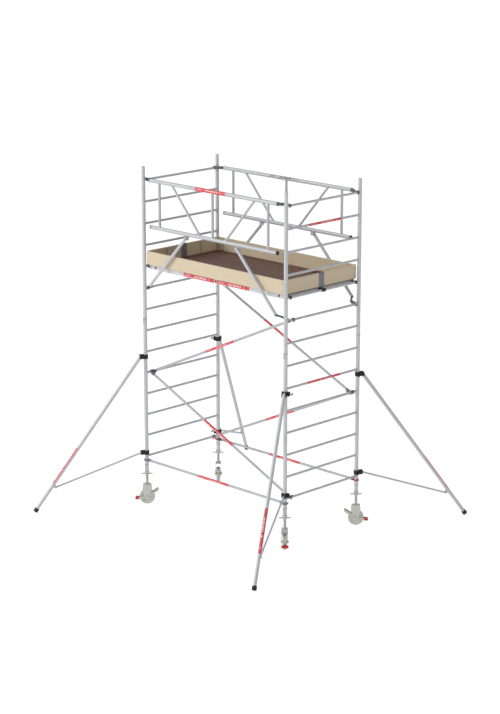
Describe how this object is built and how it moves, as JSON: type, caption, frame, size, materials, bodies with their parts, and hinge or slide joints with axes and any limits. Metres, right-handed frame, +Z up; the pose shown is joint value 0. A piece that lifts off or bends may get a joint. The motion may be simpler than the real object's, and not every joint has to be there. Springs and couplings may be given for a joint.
{
  "type": "mobile scaffold tower",
  "caption": "Mobile scaffold tower with ladder frames, hook-on braces, guarded platform with hatch and toe boards, braked height-adjustable castors and swing-out stabilisers.",
  "frame": {"origin": "on the ground, under the middle of the tower", "axes": "+X along the long side towards the hatch end, +Y across to the side with the hatch, +Z up"},
  "size_m": [4.0392, 3.9194, 4.462],
  "materials": {
    "frame_aluminium": "satin drawn tube",
    "brace_aluminium": "satin drawn tube",
    "guardrail_aluminium": "satin drawn tube",
    "guardrail_hook_grey": "dark grey coating",
    "spring_steel": "plain",
    "cast_hook_grey": "as cast, blue-grey",
    "latch_red": "gloss",
    "platform_aluminium": "mill finish extrusion",
    "deck_plywood": "phenolic film, anti-slip",
    "toe_board_wood": "light varnished softwood",
    "bracket_dark": "matt",
    "castor_nut_steel": "zinc plated",
    "castor_spindle_steel": "zinc plated",
    "castor_fork_galvanised": "galvanised",
    "castor_wheel_grey": "satin",
    "castor_brake_red": "satin",
    "clamp_black": "matt",
    "stabiliser_aluminium": "satin drawn tube"
  },
  "bodies": {
    "tower": {"brace_hooks": "cast_hook_grey", "brace_latches": "latch_red", "deck_back": "deck_plywood", "deck_front": "deck_plywood", "diagonal_brace_back_lower": "brace_aluminium", "diagonal_brace_back_upper": "brace_aluminium", "diagonal_brace_front_lower": "brace_aluminium", "diagonal_brace_front_upper": "brace_aluminium", "frame_lower_left": "frame_aluminium", "frame_lower_right": "frame_aluminium", "frame_upper_left": "frame_aluminium", "frame_upper_right": "frame_aluminium", "guardrail_back": "guardrail_aluminium", "guardrail_front": "guardrail_aluminium", "guardrail_hooks": "guardrail_hook_grey", "horizontal_brace_back": "brace_aluminium", "horizontal_brace_front": "brace_aluminium", "interlock_clips": "spring_steel", "platform_frame_back": "platform_aluminium", "platform_frame_front": "platform_aluminium", "toe_board_brackets": "bracket_dark", "toe_boards_end": "toe_board_wood", "toe_boards_side": "toe_board_wood"},
    "castor_nut_front_left": {"castor_nut_front_left": "castor_nut_steel"},
    "castor_spindle_front_left": {"castor_spindle_front_left": "castor_spindle_steel"},
    "castor_fork_front_left": {"castor_fork_front_left": "castor_fork_galvanised"},
    "castor_wheel_front_left": {"castor_wheel_front_left": "castor_wheel_grey"},
    "castor_brake_front_left": {"castor_brake_front_left": "castor_brake_red"},
    "stabiliser_front_left": {"stabiliser_clamps_front_left": "clamp_black", "stabiliser_leg_front_left": "stabiliser_aluminium", "stabiliser_stay_front_left": "stabiliser_aluminium"},
    "guardrail_strut_front_left": {"guardrail_strut_front_left": "guardrail_aluminium"},
    "castor_nut_back_left": {"castor_nut_back_left": "castor_nut_steel"},
    "castor_spindle_back_left": {"castor_spindle_back_left": "castor_spindle_steel"},
    "castor_fork_back_left": {"castor_fork_back_left": "castor_fork_galvanised"},
    "castor_wheel_back_left": {"castor_wheel_back_left": "castor_wheel_grey"},
    "castor_brake_back_left": {"castor_brake_back_left": "castor_brake_red"},
    "stabiliser_back_left": {"stabiliser_clamps_back_left": "clamp_black", "stabiliser_leg_back_left": "stabiliser_aluminium", "stabiliser_stay_back_left": "stabiliser_aluminium"},
    "guardrail_strut_back_left": {"guardrail_strut_back_left": "guardrail_aluminium"},
    "castor_nut_front_right": {"castor_nut_front_right": "castor_nut_steel"},
    "castor_spindle_front_right": {"castor_spindle_front_right": "castor_spindle_steel"},
    "castor_fork_front_right": {"castor_fork_front_right": "castor_fork_galvanised"},
    "castor_wheel_front_right": {"castor_wheel_front_right": "castor_wheel_grey"},
    "castor_brake_front_right": {"castor_brake_front_right": "castor_brake_red"},
    "stabiliser_front_right": {"stabiliser_clamps_front_right": "clamp_black", "stabiliser_leg_front_right": "stabiliser_aluminium", "stabiliser_stay_front_right": "stabiliser_aluminium"},
    "guardrail_strut_front_right": {"guardrail_strut_front_right": "guardrail_aluminium"},
    "castor_nut_back_right": {"castor_nut_back_right": "castor_nut_steel"},
    "castor_spindle_back_right": {"castor_spindle_back_right": "castor_spindle_steel"},
    "castor_fork_back_right": {"castor_fork_back_right": "castor_fork_galvanised"},
    "castor_wheel_back_right": {"castor_wheel_back_right": "castor_wheel_grey"},
    "castor_brake_back_right": {"castor_brake_back_right": "castor_brake_red"},
    "stabiliser_back_right": {"stabiliser_clamps_back_right": "clamp_black", "stabiliser_leg_back_right": "stabiliser_aluminium", "stabiliser_stay_back_right": "stabiliser_aluminium"},
    "guardrail_strut_back_right": {"guardrail_strut_back_right": "guardrail_aluminium"},
    "hatch": {"hatch": "deck_plywood"}
  },
  "joints": [
    {"name": "castor_height_front_left", "type": "slide", "parent": "tower", "child": "castor_spindle_front_left", "axis": [0, 0, 1], "range_m": [-0.15, 0.11]},
    {"name": "castor_nut_turn_front_left", "type": "hinge", "parent": "tower", "child": "castor_nut_front_left", "pos_m": [-1.25, -0.65, 0.42], "axis": [0, 0, 1], "continuous": true},
    {"name": "castor_swivel_front_left", "type": "hinge", "parent": "castor_spindle_front_left", "child": "castor_fork_front_left", "pos_m": [-1.25, -0.65, 0.262], "axis": [0, 0, 1], "continuous": true},
    {"name": "castor_roll_front_left", "type": "hinge", "parent": "castor_fork_front_left", "child": "castor_wheel_front_left", "pos_m": [-1.25, -0.65, 0.1], "axis": [0.7071, -0.7071, 0], "continuous": true},
    {"name": "castor_brake_front_left", "type": "hinge", "parent": "castor_fork_front_left", "child": "castor_brake_front_left", "pos_m": [-1.25, -0.65, 0.1], "axis": [0.7071, -0.7071, 0], "range_deg": [0, 12]},
    {"name": "stabiliser_swing_front_left", "type": "hinge", "parent": "tower", "child": "stabiliser_front_left", "pos_m": [-1.25, -0.65, 1.99], "axis": [0, 0, 1], "range_deg": [-20, 20]},
    {"name": "guardrail_strut_swing_front_left", "type": "hinge", "parent": "tower", "child": "guardrail_strut_front_left", "pos_m": [-0.45, -0.68, 3.657], "axis": [0, -1, 0], "range_deg": [0, 45]},
    {"name": "castor_height_back_left", "type": "slide", "parent": "tower", "child": "castor_spindle_back_left", "axis": [0, 0, 1], "range_m": [-0.15, 0.11]},
    {"name": "castor_nut_turn_back_left", "type": "hinge", "parent": "tower", "child": "castor_nut_back_left", "pos_m": [-1.25, 0.65, 0.42], "axis": [0, 0, 1], "continuous": true},
    {"name": "castor_swivel_back_left", "type": "hinge", "parent": "castor_spindle_back_left", "child": "castor_fork_back_left", "pos_m": [-1.25, 0.65, 0.262], "axis": [0, 0, 1], "continuous": true},
    {"name": "castor_roll_back_left", "type": "hinge", "parent": "castor_fork_back_left", "child": "castor_wheel_back_left", "pos_m": [-1.25, 0.65, 0.1], "axis": [-0.7071, -0.7071, 0], "continuous": true},
    {"name": "castor_brake_back_left", "type": "hinge", "parent": "castor_fork_back_left", "child": "castor_brake_back_left", "pos_m": [-1.25, 0.65, 0.1], "axis": [-0.7071, -0.7071, 0], "range_deg": [0, 12]},
    {"name": "stabiliser_swing_back_left", "type": "hinge", "parent": "tower", "child": "stabiliser_back_left", "pos_m": [-1.25, 0.65, 1.99], "axis": [0, 0, 1], "range_deg": [-20, 20]},
    {"name": "guardrail_strut_swing_back_left", "type": "hinge", "parent": "tower", "child": "guardrail_strut_back_left", "pos_m": [-0.45, 0.68, 3.657], "axis": [0, -1, 0], "range_deg": [0, 45]},
    {"name": "castor_height_front_right", "type": "slide", "parent": "tower", "child": "castor_spindle_front_right", "axis": [0, 0, 1], "range_m": [-0.15, 0.11]},
    {"name": "castor_nut_turn_front_right", "type": "hinge", "parent": "tower", "child": "castor_nut_front_right", "pos_m": [1.25, -0.65, 0.42], "axis": [0, 0, 1], "continuous": true},
    {"name": "castor_swivel_front_right", "type": "hinge", "parent": "castor_spindle_front_right", "child": "castor_fork_front_right", "pos_m": [1.25, -0.65, 0.262], "axis": [0, 0, 1], "continuous": true},
    {"name": "castor_roll_front_right", "type": "hinge", "parent": "castor_fork_front_right", "child": "castor_wheel_front_right", "pos_m": [1.25, -0.65, 0.1], "axis": [0.7071, 0.7071, 0], "continuous": true},
    {"name": "castor_brake_front_right", "type": "hinge", "parent": "castor_fork_front_right", "child": "castor_brake_front_right", "pos_m": [1.25, -0.65, 0.1], "axis": [0.7071, 0.7071, 0], "range_deg": [0, 12]},
    {"name": "stabiliser_swing_front_right", "type": "hinge", "parent": "tower", "child": "stabiliser_front_right", "pos_m": [1.25, -0.65, 1.99], "axis": [0, 0, 1], "range_deg": [-20, 20]},
    {"name": "guardrail_strut_swing_front_right", "type": "hinge", "parent": "tower", "child": "guardrail_strut_front_right", "pos_m": [0.45, -0.68, 3.657], "axis": [0, 1, 0], "range_deg": [0, 45]},
    {"name": "castor_height_back_right", "type": "slide", "parent": "tower", "child": "castor_spindle_back_right", "axis": [0, 0, 1], "range_m": [-0.15, 0.11]},
    {"name": "castor_nut_turn_back_right", "type": "hinge", "parent": "tower", "child": "castor_nut_back_right", "pos_m": [1.25, 0.65, 0.42], "axis": [0, 0, 1], "continuous": true},
    {"name": "castor_swivel_back_right", "type": "hinge", "parent": "castor_spindle_back_right", "child": "castor_fork_back_right", "pos_m": [1.25, 0.65, 0.262], "axis": [0, 0, 1], "continuous": true},
    {"name": "castor_roll_back_right", "type": "hinge", "parent": "castor_fork_back_right", "child": "castor_wheel_back_right", "pos_m": [1.25, 0.65, 0.1], "axis": [-0.7071, 0.7071, 0], "continuous": true},
    {"name": "castor_brake_back_right", "type": "hinge", "parent": "castor_fork_back_right", "child": "castor_brake_back_right", "pos_m": [1.25, 0.65, 0.1], "axis": [-0.7071, 0.7071, 0], "range_deg": [0, 12]},
    {"name": "stabiliser_swing_back_right", "type": "hinge", "parent": "tower", "child": "stabiliser_back_right", "pos_m": [1.25, 0.65, 1.99], "axis": [0, 0, 1], "range_deg": [-20, 20]},
    {"name": "guardrail_strut_swing_back_right", "type": "hinge", "parent": "tower", "child": "guardrail_strut_back_right", "pos_m": [0.45, 0.68, 3.657], "axis": [0, 1, 0], "range_deg": [0, 45]},
    {"name": "hatch_hinge", "type": "hinge", "parent": "tower", "child": "hatch", "pos_m": [0.753, 0.5235, 3.207], "axis": [-1, 0, 0], "range_deg": [0, 95]}
  ],
  "couplings": [
    {"joint": "castor_nut_turn_front_left", "follows": "castor_height_front_left", "rad_per_m": -628.32},
    {"joint": "castor_nut_turn_back_left", "follows": "castor_height_back_left", "rad_per_m": -628.32},
    {"joint": "castor_nut_turn_front_right", "follows": "castor_height_front_right", "rad_per_m": -628.32},
    {"joint": "castor_nut_turn_back_right", "follows": "castor_height_back_right", "rad_per_m": -628.32}
  ]
}
